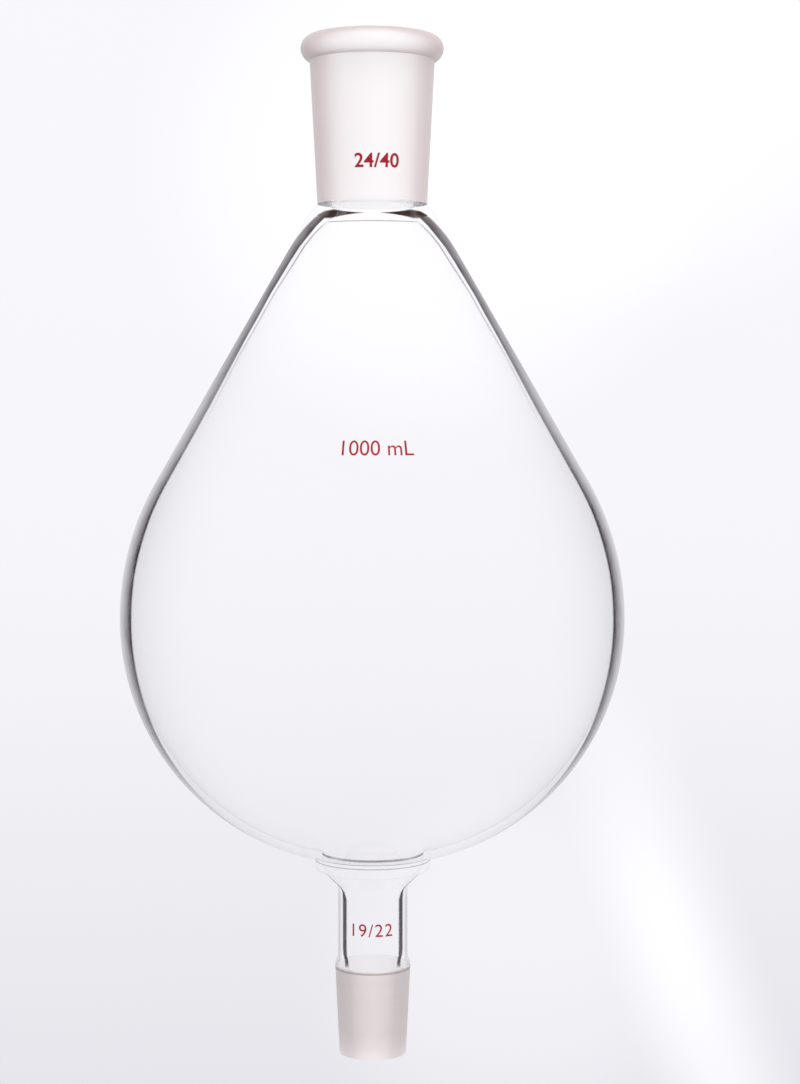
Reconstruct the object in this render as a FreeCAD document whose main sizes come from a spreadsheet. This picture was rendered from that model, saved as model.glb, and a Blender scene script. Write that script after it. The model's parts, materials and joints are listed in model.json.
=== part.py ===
"""Pear-shaped dropping funnel body in borosilicate glass, as a parametric document, in millimetres.

Five glass pieces stand on one vertical axis and are flame-sealed end to end: a 24/40 ground socket with
a rolled rim at the top, the sloping shoulder and the round bowl of a one-litre bulb, which meet at its
widest line, a flared drain stem under them, and a 19/22 ground cone at the bottom.
The origin is on the axis, at the cone's large end, where a mating socket's rim comes to rest. +Z is up.
"""

import FreeCAD
import Part
import Sketcher
import math
import os
import sys

# Driving dimensions: alias, value, meaning. Lengths are in millimetres and angles in degrees.
SIZES = [
    ("joint_taper", 10.0, "length over which a ground joint's diameter changes by one"),
    ("socket_bore", 24.0, "socket: bore diameter at the large end"),
    ("socket_ground", 40.0, "socket: ground length"),
    ("socket_wall", 3.45, "socket: wall, measured across the axis"),
    ("socket_tail", 1.35, "socket: clear length between the ground bore and the seal"),
    ("tail_angle", 45.0, "socket: slope of the clear tail from the axis"),
    ("tail_fillet", 0.8, "socket: outside radius where the wall turns into the tail"),
    ("rim_diameter", 35.0, "rolled rim: outside diameter"),
    ("rim_roll", 6.4, "rolled rim: thickness of the roll"),
    ("rim_fillet", 0.8, "rolled rim: radius where the roll leaves the wall"),
    ("mouth_round", 1.3, "rolled rim: inside radius at the mouth"),
    ("bulb_diameter", 124.3, "bulb: outside diameter at its widest"),
    ("bulb_wall", 2.1, "bulb: wall"),
    ("belly_radius", 68.5, "upper bulb: radius of the arc between the widest line and the shoulder"),
    ("shoulder_height", 100.1, "upper bulb: height from the widest line to the seal with the socket"),
    ("throat_diameter", 29.9, "upper bulb: outside diameter at the seal with the socket"),
    ("throat_turn", 3.0, "upper bulb: outside radius between the socket's tail and the shoulder"),
    ("throat_depth", 1.6, "upper bulb: straight bore below the seal with the socket"),
    ("throat_round", 1.2, "upper bulb: inside radius at the end of that bore"),
    ("throat_angle", 47.0, "upper bulb: slope of the thick throat's inside from the axis"),
    ("throat_fillet", 6.0, "upper bulb: inside radius where the thick throat thins to the wall"),
    ("bowl_depth", 59.2, "lower bulb: height from the top of the outlet's collar to the widest line"),
    ("collar_height", 2.5, "lower bulb: height of the collar between the bowl and the seal with the stem"),
    ("outlet_bore", 25.2, "lower bulb: bore diameter at the seal with the stem"),
    ("outlet_wall", 1.7, "lower bulb: wall at the seal with the stem"),
    ("outlet_fillet", 0.9, "lower bulb: outside radius between the collar and the bowl"),
    ("outlet_round", 1.8, "lower bulb: inside radius at the rim of the outlet"),
    ("drain_bore", 14.0, "stem and cone: bore diameter"),
    ("drain_wall", 1.65, "stem: wall"),
    ("stem_length", 21.6, "stem: length between its two seals"),
    ("flare_angle", 45.0, "stem: slope of the flare from the axis"),
    ("flare_wall", 0.65, "stem: wall of the flare, which is blown thinner than the tube"),
    ("flare_bend", 2.5, "stem: inside radius of the bend into the flare"),
    ("flare_heel", 2.0, "stem: outside radius of the bend into the flare"),
    ("flare_lip", 0.6, "stem: inside radius of the turn back to the seal"),
    ("bead_radius", 1.2, "stem: radius of the rounded edge under the collar"),
    ("bead_fillet", 0.5, "stem: radius between that edge and the flare"),
    ("cone_size", 18.8, "cone: diameter at the large end"),
    ("cone_ground", 22.0, "cone: ground length"),
    ("cone_shoulder", 3.5, "cone: height of the clear shoulder above the ground length"),
    ("cone_edge", 1.2, "cone: radius where the shoulder turns into the ground length"),
    ("tip_round", 0.5, "cone: radius of the fire-polished tip"),
]

START, END, CENTRE = 1, 2, 3  # a sketch's numbers for the points of a line or an arc


class Size:
    """A number together with the formula, in spreadsheet terms, that gives it."""

    def __init__(self, value, formula):
        self.value, self.formula = value, formula

    @staticmethod
    def of(other):
        return other if isinstance(other, Size) else Size(float(other), repr(other))

    def _with(self, sign, other, value):
        return Size(value, f"({self.formula} {sign} {other.formula})")

    def __add__(self, other):
        other = Size.of(other)
        return self._with("+", other, self.value + other.value)

    def __sub__(self, other):
        other = Size.of(other)
        return self._with("-", other, self.value - other.value)

    def __mul__(self, other):
        other = Size.of(other)
        return self._with("*", other, self.value * other.value)

    def __truediv__(self, other):
        other = Size.of(other)
        return self._with("/", other, self.value / other.value)

    def __neg__(self):
        return Size(-self.value, f"(-{self.formula})")

    def root(self):
        return Size(math.sqrt(self.value), f"sqrt({self.formula})")

    def sine(self):
        return Size(math.sin(math.radians(self.value)), f"sin({self.formula})")

    def cosine(self):
        return Size(math.cos(math.radians(self.value)), f"cos({self.formula})")

    def tangent(self):
        return Size(math.tan(math.radians(self.value)), f"tan({self.formula})")


class Outline:
    """The half section of a turned piece, in the XZ plane: x is the distance from the axis, z the height.

    Edges are drawn one after another, near their final place, and the constraints settle them.
    """

    def __init__(self, body):
        self.body = body
        self.sketch = body.newObject("Sketcher::SketchObject", body.Name + "_section")
        plane = next(f for f in body.Origin.OriginFeatures if f.Role == "XZ_Plane")
        self.sketch.AttachmentSupport = (plane, [""])
        self.sketch.MapMode = "FlatFace"
        self.edges = []  # each (geometry number, point it starts from, point it ends at)

    def line(self, start, end):
        here, there = (FreeCAD.Vector(x, z, 0) for x, z in (start, end))
        number = self.sketch.addGeometry(Part.LineSegment(here, there), False)
        self.edges.append((number, START, END))
        return len(self.edges) - 1

    def arc(self, centre, start, end, clockwise=False):
        middle, up = FreeCAD.Vector(centre[0], centre[1], 0), FreeCAD.Vector(0, 0, 1)
        turn = [math.atan2(z - centre[1], x - centre[0]) for x, z in (start, end)]
        radius = math.dist(centre, start)
        first, last = reversed(turn) if clockwise else turn
        curve = Part.ArcOfCircle(Part.Circle(middle, up, radius), first, last)
        number = self.sketch.addGeometry(curve, False)
        self.edges.append((number, END, START) if clockwise else (number, START, END))
        return len(self.edges) - 1

    def _constrain(self, *parts):
        return self.sketch.addConstraint(Sketcher.Constraint(*parts))

    def _measure(self, kind, where, size):
        size = Size.of(size)
        number = self._constrain(kind, *where, size.value)
        self.sketch.setExpression(f"Constraints[{number}]", size.formula)

    def join(self, smooth):
        """Closes the outline. smooth lists the edges that run on tangentially from the edge before."""
        for i, (number, starts, _) in enumerate(self.edges):
            before, _, ends = self.edges[i - 1]
            kind = "Tangent" if i in smooth else "Coincident"
            self._constrain(kind, before, ends, number, starts)

    def begin_at(self, edge, x=None, z=None):
        """Fixes where an edge begins."""
        number, starts, _ = self.edges[edge]
        if x is not None:
            self._measure("DistanceX", (number, starts), x)
        if z is not None:
            self._measure("DistanceY", (number, starts), z)

    def centre_at(self, edge, x=None, z=None):
        """Fixes an arc's centre."""
        number = self.edges[edge][0]
        if x is not None:
            self._measure("DistanceX", (number, CENTRE), x)
        if z is not None:
            self._measure("DistanceY", (number, CENTRE), z)

    def end_at(self, edge, x=None, z=None):
        """Fixes where an edge ends."""
        number, _, ends = self.edges[edge]
        if x is not None:
            self._measure("DistanceX", (number, ends), x)
        if z is not None:
            self._measure("DistanceY", (number, ends), z)

    def concentric(self, edge, other):
        self._constrain("Coincident", self.edges[edge][0], CENTRE, self.edges[other][0], CENTRE)

    def parallel(self, edge, other):
        self._constrain("Parallel", self.edges[edge][0], self.edges[other][0])

    def runs_through(self, edge, x, z):
        """Makes a line, or the line it would be if longer, run through a point."""
        point = Part.Point(FreeCAD.Vector(x.value, z.value, 0))
        number = self.sketch.addGeometry(point, True)
        self._measure("DistanceX", (number, START), x)
        self._measure("DistanceY", (number, START), z)
        self._constrain("PointOnObject", number, START, self.edges[edge][0])

    def radius(self, edge, size):
        self._measure("Radius", (self.edges[edge][0],), size)

    def level(self, edge):
        self._constrain("Horizontal", self.edges[edge][0])

    def upright(self, edge):
        self._constrain("Vertical", self.edges[edge][0])

    def turn(self):
        """Revolves the section about the axis and makes that the body's shape."""
        turned = self.body.newObject("PartDesign::Revolution", self.body.Name + "_turned")
        turned.Profile = self.sketch
        turned.ReferenceAxis = (self.sketch, ["V_Axis"])
        turned.Angle = 360.0
        self.body.Tip = turned


def make_sheet(doc):
    """Fills the spreadsheet and returns {alias: Size}."""
    sheet = doc.addObject("Spreadsheet::Sheet", "Sizes")
    sizes = {}
    for row, (alias, value, meaning) in enumerate(SIZES, start=1):
        sheet.set(f"A{row}", meaning)
        sheet.set(f"B{row}", str(value))
        sheet.setAlias(f"B{row}", alias)
        sizes[alias] = Size(value, f"Sizes.{alias}")
    return sizes


def make_body(doc, name):
    body = doc.addObject("PartDesign::Body", name)
    body.Label = name
    return body


def heights(s):
    """Heights above the origin: the seals between the pieces, the widest line and the ground bore's ends."""
    h = {"stem_low": s["cone_shoulder"]}
    h["stem_high"] = h["stem_low"] + s["stem_length"]
    h["widest"] = h["stem_high"] + s["collar_height"] + s["bowl_depth"]
    h["socket_low"] = h["widest"] + s["shoulder_height"]
    h["ground_low"] = h["socket_low"] + s["socket_tail"]
    h["ground_high"] = h["ground_low"] + s["socket_ground"]
    return h


def corner(before, point, after, radius):
    """Rounds a corner between two straight lines: the arc's centre, start and end, for a first placing."""
    back, on = ((FreeCAD.Vector(*p, 0) - FreeCAD.Vector(*point, 0)).normalize() for p in (before, after))
    half = back.getAngle(on) / 2
    reach, middle = radius / math.tan(half), (back + on).normalize() * (radius / math.sin(half))
    spots = (middle, back * reach, on * reach)
    return [(point[0] + v.x, point[1] + v.y) for v in spots]


def meeting(centre, radius, x, above):
    """The point at distance x from the axis where a circle is crossed, above or below its centre."""
    rise = math.sqrt(radius**2 - (x - centre[0]) ** 2)
    return (x, centre[1] + (rise if above else -rise))


def top_socket(doc, s, h):
    """The 24/40 ground socket: tapered bore and wall, a rolled rim and a clear tail that flares out."""
    low, ground, gauge = h["socket_low"], h["ground_low"], h["ground_high"]
    wide = s["socket_bore"] / 2
    narrow = wide - s["socket_ground"] / s["joint_taper"] / 2
    wall, outer = s["socket_wall"], s["throat_diameter"] / 2
    roll, mouth = s["rim_roll"] / 2, s["mouth_round"]
    crest = s["rim_diameter"] / 2 - roll

    z = ground.value
    slope = math.tan(math.radians(s["tail_angle"].value))
    start = (outer.value, low.value)
    top = gauge.value + mouth.value
    turn = (narrow.value + wall.value, low.value + (outer.value - narrow.value - wall.value) / slope)
    far = (wide.value + wall.value, gauge.value)
    tail_mid, tail_in, tail_out = corner(start, turn, far, s["tail_fillet"].value)
    ring = (crest.value, top - roll.value)
    below = meeting(ring, roll.value, crest.value + 1.1, above=False)
    neck = (crest.value + 0.8, below[1] - 0.8)
    hollow = (neck[0] + s["rim_fillet"].value, neck[1])

    body = make_body(doc, "top_socket")
    o = Outline(body)
    seal = o.line((narrow.value, low.value), start)
    tail = o.line(start, tail_in)
    tail_round = o.arc(tail_mid, tail_in, tail_out, clockwise=True)
    outside = o.line(tail_out, neck)
    hollow_arc = o.arc(hollow, neck, below, clockwise=True)
    bead = o.arc(ring, below, (crest.value, top))
    rim = o.line((crest.value, top), (wide.value + mouth.value, top))
    lip = (wide.value + mouth.value, gauge.value)
    lead = o.arc(lip, (lip[0], top), (wide.value, gauge.value))
    bore = o.line((wide.value, gauge.value), (narrow.value, z))
    throat = o.line((narrow.value, z), (narrow.value, low.value))

    o.join(smooth=[tail_round, outside, hollow_arc, bead, rim, lead, bore])
    o.begin_at(seal, narrow, low)
    o.end_at(seal, outer, low)
    o.runs_through(tail, outer - s["tail_angle"].tangent(), low + 1)
    o.radius(tail_round, s["tail_fillet"])
    o.runs_through(outside, narrow + wall, ground)
    o.runs_through(outside, wide + wall, gauge)
    o.radius(hollow_arc, s["rim_fillet"])
    o.radius(bead, roll)
    o.centre_at(bead, x=crest)
    o.level(rim)
    o.radius(lead, mouth)
    o.begin_at(bore, wide, gauge)
    o.end_at(bore, narrow, ground)
    o.turn()
    return body


def upper_bulb(doc, s, h):
    """The bulb above its widest line: a belly arc, a straight shoulder and a thick throat at the socket."""
    low, high = h["widest"], h["socket_low"]
    outer, wall, belly = s["bulb_diameter"] / 2, s["bulb_wall"], s["belly_radius"]
    inner = outer - wall
    neck = s["throat_diameter"] / 2
    bore = s["socket_bore"] / 2 - s["socket_ground"] / s["joint_taper"] / 2
    depth = high - s["throat_depth"]

    hub, reach = ((outer - belly).value, low.value), belly.value
    rise = math.atan2((outer - neck).value, (high - low).value)
    foot = [(hub[0] + r * math.cos(rise), hub[1] + r * math.sin(rise)) for r in (reach, reach - wall.value)]
    bow, lean = s["throat_turn"], s["tail_angle"]
    turn = (neck - bow * lean.cosine(), high - bow * lean.sine())
    top = (turn[0].value + bow.value * math.cos(rise), turn[1].value + bow.value * math.sin(rise))
    edge, slant = (bore.value, depth.value), math.tan(math.radians(s["throat_angle"].value))
    along = math.tan(rise)
    drop = (edge[0] - foot[1][0] - (edge[1] - foot[1][1]) * -along) / (along - slant)
    bend = (edge[0] + abs(drop) * slant, edge[1] - abs(drop))
    lip_mid, lip_in, lip_out = corner(foot[1], bend, edge, s["throat_fillet"].value)
    round_mid, round_in, round_out = corner(bend, edge, (bore.value, high.value), s["throat_round"].value)

    body = make_body(doc, "upper_bulb")
    o = Outline(body)
    seam = o.line((inner.value, low.value), (outer.value, low.value))
    outside_belly = o.arc(hub, (outer.value, low.value), foot[0])
    shoulder = o.line(foot[0], top)
    throat_turn = o.arc((turn[0].value, turn[1].value), top, (neck.value, high.value))
    seal = o.line((neck.value, high.value), (bore.value, high.value))
    throat = o.line((bore.value, high.value), round_out)
    throat_round = o.arc(round_mid, round_out, round_in)
    flare = o.line(round_in, lip_out)
    lip = o.arc(lip_mid, lip_out, lip_in, clockwise=True)
    inside = o.line(lip_in, foot[1])
    inside_belly = o.arc(hub, foot[1], (inner.value, low.value), clockwise=True)

    o.join(smooth=[shoulder, throat_turn, throat_round, flare, lip, inside, inside_belly])
    o.begin_at(seam, inner, low)
    o.end_at(seam, outer, low)
    o.centre_at(outside_belly, outer - belly, low)
    o.centre_at(throat_turn, turn[0], turn[1])
    o.begin_at(seal, neck, high)
    o.end_at(seal, bore, high)
    o.upright(throat)
    o.radius(throat_round, s["throat_round"])
    o.runs_through(flare, bore, depth)
    o.runs_through(flare, bore + s["throat_angle"].tangent() * 10, depth - 10)
    o.radius(lip, s["throat_fillet"])
    o.parallel(inside, shoulder)
    o.concentric(inside_belly, outside_belly)
    o.turn()
    return body


def lower_bulb(doc, s, h):
    """The bulb below its widest line: a round bowl that ends in a short collar round the outlet.

    The bowl's arc leaves the widest line upright and runs to the top corner of the collar.
    """
    low, high = h["stem_high"], h["widest"]
    outer, wall, depth = s["bulb_diameter"] / 2, s["bulb_wall"], s["bowl_depth"]
    inner = outer - wall
    bore = s["outlet_bore"] / 2
    collar = bore + s["outlet_wall"]
    run = outer - collar
    bowl = (run * run + depth * depth) / (run * 2)

    hub = ((outer - bowl).value, high.value)
    fillet, edge = s["outlet_fillet"].value, s["outlet_round"].value
    groove = meeting(hub, bowl.value + fillet, collar.value + fillet, above=False)
    share = bowl.value / (bowl.value + fillet)
    touch = tuple(a + (b - a) * share for a, b in zip(hub, groove))
    rim = meeting(hub, (bowl - wall).value + edge, bore.value + edge, above=False)
    share = (bowl - wall).value / ((bowl - wall).value + edge)
    inside = tuple(a + (b - a) * share for a, b in zip(hub, rim))

    body = make_body(doc, "lower_bulb")
    o = Outline(body)
    seal = o.line((bore.value, low.value), (collar.value, low.value))
    side = o.line((collar.value, low.value), (collar.value, groove[1]))
    hollow = o.arc(groove, (collar.value, groove[1]), touch, clockwise=True)
    outside_bowl = o.arc(hub, touch, (outer.value, high.value))
    seam = o.line((outer.value, high.value), (inner.value, high.value))
    inside_bowl = o.arc(hub, (inner.value, high.value), inside, clockwise=True)
    outlet_round = o.arc(rim, inside, (bore.value, rim[1]))
    outlet = o.line((bore.value, rim[1]), (bore.value, low.value))

    o.join(smooth=[hollow, outside_bowl, outlet_round, outlet])
    o.begin_at(seal, bore, low)
    o.end_at(seal, collar, low)
    o.upright(side)
    o.radius(hollow, s["outlet_fillet"])
    o.begin_at(seam, outer, high)
    o.end_at(seam, inner, high)
    o.centre_at(outside_bowl, outer - bowl, high)
    o.concentric(inside_bowl, outside_bowl)
    o.radius(outlet_round, s["outlet_round"])
    o.upright(outlet)
    o.turn()
    return body


def flare_outside(passes, angle, tube, heel, bead, bead_radius, fillet):
    """Where the flare's outside touches its neighbours, for a first placing, from a point that it passes.

    Gives the heel arc's centre and its touching point, then the same for the fillet under the bead.
    """
    along, away = (math.sin(angle), math.cos(angle)), (math.cos(angle), -math.sin(angle))
    rise = ((tube + heel - passes[0]) * away[0] - heel) / along[0]
    heel_at = (tube + heel, passes[1] + rise)
    to_bead = [b - p - fillet * a for b, p, a in zip(bead, passes, away)]
    ahead = to_bead[0] * along[0] + to_bead[1] * along[1]
    aside = to_bead[0] * away[0] + to_bead[1] * away[1]
    run = ahead - math.sqrt((bead_radius + fillet) ** 2 - aside**2)
    fillet_at = tuple(p + run * a + fillet * b for p, a, b in zip(passes, along, away))
    heel_end = tuple(c - heel * a for c, a in zip(heel_at, away))
    fillet_start = tuple(c - fillet * a for c, a in zip(fillet_at, away))
    return heel_at, heel_end, fillet_at, fillet_start


def drain_stem(doc, s, h):
    """The drain tube: straight above the cone, then a thin flare that opens under the bulb's collar.

    The flare's outside ends in a rounded bead, where the tube was melted to the collar.
    """
    low, high = h["stem_low"], h["stem_high"]
    bore, mouth = s["drain_bore"] / 2, s["outlet_bore"] / 2
    tube, collar = bore + s["drain_wall"], mouth + s["outlet_wall"]
    bend, lip, angle = s["flare_bend"], s["flare_lip"], s["flare_angle"]

    across = (mouth - lip) - (bore + bend)
    drop = (bend + lip + across * angle.cosine()) / angle.sine()
    knee, hip = (bore + bend, high - drop), (mouth - lip, high)
    step = bend - s["flare_wall"]
    passes = (knee[0] - step * angle.cosine(), knee[1] + step * angle.sine())
    bead = (collar - s["bead_radius"], high)

    knee_at, hip_at, passes_at, bead_at = ([c.value for c in p] for p in (knee, hip, passes, bead))
    lean = math.radians(angle.value)
    away = (math.cos(lean), -math.sin(lean))
    inner_low = tuple(c - bend.value * a for c, a in zip(knee_at, away))
    inner_high = tuple(c + lip.value * a for c, a in zip(hip_at, away))
    sizes = [s[name].value for name in ("flare_heel", "bead_radius", "bead_fillet")]
    heel_at, heel_end, fillet_at, fillet_start = flare_outside(
        passes_at, lean, tube.value, sizes[0], bead_at, sizes[1], sizes[2]
    )
    share = sizes[2] / (sizes[1] + sizes[2])
    bead_start = tuple(f + (b - f) * share for f, b in zip(fillet_at, bead_at))

    body = make_body(doc, "drain_stem")
    o = Outline(body)
    seal = o.line((bore.value, low.value), (tube.value, low.value))
    outside = o.line((tube.value, low.value), (tube.value, heel_at[1]))
    heel = o.arc(heel_at, (tube.value, heel_at[1]), heel_end, clockwise=True)
    outside_flare = o.line(heel_end, fillet_start)
    fillet = o.arc(fillet_at, fillet_start, bead_start, clockwise=True)
    edge = o.arc(bead_at, bead_start, (collar.value, high.value))
    collar_seal = o.line((collar.value, high.value), (mouth.value, high.value))
    inside_lip = o.arc(hip_at, (mouth.value, high.value), inner_high, clockwise=True)
    inside_flare = o.line(inner_high, inner_low)
    inside_bend = o.arc(knee_at, inner_low, (bore.value, knee_at[1]))
    inside = o.line((bore.value, knee_at[1]), (bore.value, low.value))

    o.join(smooth=[heel, outside_flare, fillet, edge, inside_flare, inside_bend, inside])
    o.begin_at(seal, bore, low)
    o.end_at(seal, tube, low)
    o.upright(outside)
    o.radius(heel, s["flare_heel"])
    o.parallel(outside_flare, inside_flare)
    o.runs_through(outside_flare, *passes)
    o.radius(fillet, s["bead_fillet"])
    o.begin_at(collar_seal, collar, high)
    o.end_at(collar_seal, mouth, high)
    o.centre_at(edge, *bead)
    o.centre_at(inside_lip, *hip)
    o.centre_at(inside_bend, *knee)
    o.upright(inside)
    o.turn()
    return body


def lower_cone(doc, s, h):
    """The 19/22 ground cone: a tapered outside, a straight bore, a clear shoulder and a fire-polished tip."""
    bore = s["drain_bore"] / 2
    tube = bore + s["drain_wall"]
    top = s["cone_shoulder"]
    wide = s["cone_size"] / 2
    narrow = wide - s["cone_ground"] / s["joint_taper"] / 2
    length, edge, tip = s["cone_ground"], s["cone_edge"], s["tip_round"]

    x, z = (wide - edge).value, 0.0
    inward = x - tube.value
    sweep = (inward**2 + top.value**2 - edge.value**2) / (2 * (edge.value + inward))
    share = edge.value / (sweep + edge.value)
    waist = (x + (tube.value + sweep - x) * share, z + (top.value - z) * share)
    low = -length.value - tip.value
    inner = (bore.value, low + tip.value)

    body = make_body(doc, "lower_cone")
    o = Outline(body)
    seal = o.line((bore.value, top.value), (tube.value, top.value))
    bend = o.arc((tube.value + sweep, top.value), (tube.value, top.value), waist)
    shoulder = o.arc((x, z), waist, (wide.value, 0.0), clockwise=True)
    ground = o.line((wide.value, 0.0), (narrow.value, -length.value))
    outer_tip = o.arc(
        (narrow.value - tip.value, -length.value),
        (narrow.value, -length.value),
        (narrow.value - tip.value, low),
        clockwise=True,
    )
    face = o.line((narrow.value - tip.value, low), (bore.value + tip.value, low))
    inner_tip = o.arc((inner[0] + tip.value, inner[1]), (inner[0] + tip.value, low), inner, clockwise=True)
    wall = o.line(inner, (bore.value, top.value))

    o.join(smooth=[shoulder, ground, outer_tip, face, inner_tip, wall])
    o.begin_at(seal, bore, top)
    o.begin_at(bend, tube, top)
    o.centre_at(bend, z=top)
    o.radius(shoulder, edge)
    o.begin_at(ground, wide)
    o.begin_at(ground, z=Size.of(0))
    o.begin_at(outer_tip, narrow, -length)
    o.radius(outer_tip, tip)
    o.level(face)
    o.radius(inner_tip, tip)
    o.upright(wall)
    o.turn()
    return body


def check(doc, parts):
    """Stops the build if a sketch, a feature or a solid isn't sound."""
    faults = [o.Name for o in doc.Objects if {"Invalid", "Error"} & set(o.State)]
    for part in parts:
        for sketch in (o for o in part.Group if o.TypeId == "Sketcher::SketchObject"):
            if sketch.solve() != 0 or not sketch.FullyConstrained:
                faults.append(sketch.Name)
        shape = part.Shape
        if shape.isNull() or not shape.isValid() or len(shape.Solids) != 1:
            faults.append(part.Name)
    if faults:
        print("faults:", ", ".join(faults))
        sys.exit(1)


def main():
    doc = FreeCAD.newDocument("dropping_funnel")
    s = make_sheet(doc)
    h = heights(s)
    makers = (top_socket, upper_bulb, lower_bulb, drain_stem, lower_cone)
    parts = [make(doc, s, h) for make in makers]
    doc.recompute()
    check(doc, parts)
    os.makedirs("parts", exist_ok=True)
    for part in parts:
        part.Shape.exportStep(f"parts/{part.Label}.step")
        box = part.Shape.optimalBoundingBox()
        print(part.Label, f"{part.Shape.Volume:.0f} mm3, z {box.ZMin:.2f} to {box.ZMax:.2f}")


main()
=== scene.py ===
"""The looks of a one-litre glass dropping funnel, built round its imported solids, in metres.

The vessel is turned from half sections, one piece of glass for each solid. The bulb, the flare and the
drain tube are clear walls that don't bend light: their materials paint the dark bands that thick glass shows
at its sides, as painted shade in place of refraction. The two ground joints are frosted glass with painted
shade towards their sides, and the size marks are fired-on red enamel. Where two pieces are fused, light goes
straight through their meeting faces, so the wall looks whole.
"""

import bmesh
import bpy
import json
import math
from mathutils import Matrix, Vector

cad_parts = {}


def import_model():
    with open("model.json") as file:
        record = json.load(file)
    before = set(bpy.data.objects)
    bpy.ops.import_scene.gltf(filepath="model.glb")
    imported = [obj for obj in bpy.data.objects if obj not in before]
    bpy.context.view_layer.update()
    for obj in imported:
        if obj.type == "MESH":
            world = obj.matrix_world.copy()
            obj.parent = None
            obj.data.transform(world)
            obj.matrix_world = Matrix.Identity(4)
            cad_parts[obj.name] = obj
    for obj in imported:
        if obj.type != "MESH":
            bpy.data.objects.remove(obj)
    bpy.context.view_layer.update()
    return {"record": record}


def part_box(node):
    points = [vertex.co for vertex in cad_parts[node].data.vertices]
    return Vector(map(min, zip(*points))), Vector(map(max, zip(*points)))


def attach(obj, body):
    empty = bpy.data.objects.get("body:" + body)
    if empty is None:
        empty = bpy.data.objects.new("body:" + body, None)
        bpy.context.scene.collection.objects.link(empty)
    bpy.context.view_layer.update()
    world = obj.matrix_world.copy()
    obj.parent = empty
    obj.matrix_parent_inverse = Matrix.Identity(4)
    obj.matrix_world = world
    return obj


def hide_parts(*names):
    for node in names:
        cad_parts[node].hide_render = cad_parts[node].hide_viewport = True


MM = 0.001

# ---------------------------------------------------------------- sizes read from the solids


def read_sizes(frame):
    """Heights and radii of the solids, and the sizes of the joints in the record."""
    s = {}
    s["tip"], s["stem_low"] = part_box("lower_cone")[0].z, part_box("drain_stem")[0].z
    s["stem_high"], s["widest"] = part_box("lower_bulb")[0].z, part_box("upper_bulb")[0].z
    s["socket_low"], s["top"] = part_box("top_socket")[0].z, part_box("top_socket")[1].z
    s["bulb"], s["rim"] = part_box("upper_bulb")[1].x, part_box("top_socket")[1].x
    s["collar"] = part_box("drain_stem")[1].x
    mounts = {m["name"]: m for m in frame["record"]["mounts"]}
    socket, cone, drain = (mounts[n]["dims"] for n in ("upper_socket", "lower_cone", "drain_bore"))
    s["mouth"], s["ground"] = socket["r_mm"] * MM, socket["length_mm"] * MM
    s["gauge"] = mounts["upper_socket"]["pos_m"][2]
    s["cone"], s["cone_ground"] = cone["r_mm"] * MM, cone["length_mm"] * MM
    s["drain"] = drain["r_mm"] * MM
    s["throat"] = s["mouth"] - s["ground"] / TAPER_RUN
    return s


TAPER_RUN = 20
SOCKET_WALL = 3.45 * MM
BULB_WALL = 2.1 * MM
DRAIN_WALL = 1.65 * MM
FLARE_WALL = 0.65 * MM
THROAT_OUTER = 14.95 * MM
THROAT_TURN = 3.0 * MM
OUTLET_BORE = 12.6 * MM
BELLY_ARC = 68.5 * MM
STEPS_ROUND = 192
DEGREES_A_SEGMENT = 8
SHARP = math.radians(35)

# ---------------------------------------------------------------- turning glass


class Section:
    """Half of a turned piece's section, drawn in the XZ plane from one point to the next."""

    def __init__(self, r, z):
        self.bm = bmesh.new()
        self.first = self.last = self.bm.verts.new((r, 0, z))
        self.rounds = []

    def to(self, r, z, radius=0.0):
        """A straight side to a corner, which is rounded if it has a radius."""
        corner = self.bm.verts.new((r, 0, z))
        self.bm.edges.new((self.last, corner))
        self.last = corner
        if radius:
            self.rounds.append((corner, radius))
        return self

    def arc(self, r, z, degrees, steps):
        """A curved side: the last point is swung about a centre."""
        swung = bmesh.ops.spin(
            self.bm,
            geom=[self.last],
            cent=(r, 0, z),
            axis=(0, -1, 0),
            angle=math.radians(degrees),
            steps=steps,
        )
        self.last = next(g for g in swung["geom_last"] if isinstance(g, bmesh.types.BMVert))
        return self

    def close(self):
        self.bm.edges.new((self.last, self.first))
        for corner, radius in self.rounds:
            sides = [e.other_vert(corner).co - corner.co for e in corner.link_edges]
            half = sides[0].angle(sides[1]) / 2
            bmesh.ops.bevel(
                self.bm,
                geom=[corner],
                affect="VERTICES",
                offset=radius / math.tan(half),
                segments=max(4, round(math.degrees(math.pi - 2 * half) / DEGREES_A_SEGMENT)),
                profile=0.5,
                material=-1,
            )
        return self

    def turn(self, name, materials, regions=()):
        """Spins the section into a closed piece.

        regions gives pairs of a material's number and a test on a face's radius, height and the face itself.
        """
        bm = self.bm
        bmesh.ops.spin(
            bm,
            geom=bm.verts[:] + bm.edges[:],
            cent=(0, 0, 0),
            axis=(0, 0, 1),
            angle=math.tau,
            steps=STEPS_ROUND,
            use_merge=True,
        )
        bmesh.ops.remove_doubles(bm, verts=bm.verts, dist=1e-7)
        bmesh.ops.recalc_face_normals(bm, faces=bm.faces)
        for face in bm.faces:
            face.smooth = True
            middle = face.calc_center_median()
            spot = (math.hypot(middle.x, middle.y), middle.z)
            for number, inside in regions:
                if inside(*spot, face):
                    face.material_index = number
        for edge in bm.edges:
            edge.smooth = len(edge.link_faces) == 2 and edge.calc_face_angle() < SHARP
        return finish_piece(name, bm, materials)


def finish_piece(name, bm, materials):
    mesh = bpy.data.meshes.new(name)
    bm.to_mesh(mesh)
    bm.free()
    piece = bpy.data.objects.new(name, mesh)
    bpy.context.scene.collection.objects.link(piece)
    for material in materials:
        mesh.materials.append(material)
    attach(piece, "root")
    return piece


def faces_in(r, z, face):
    """A test for faces that look towards the axis."""
    middle = face.calc_center_median()
    return face.normal.x * middle.x + face.normal.y * middle.y < 0


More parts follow.
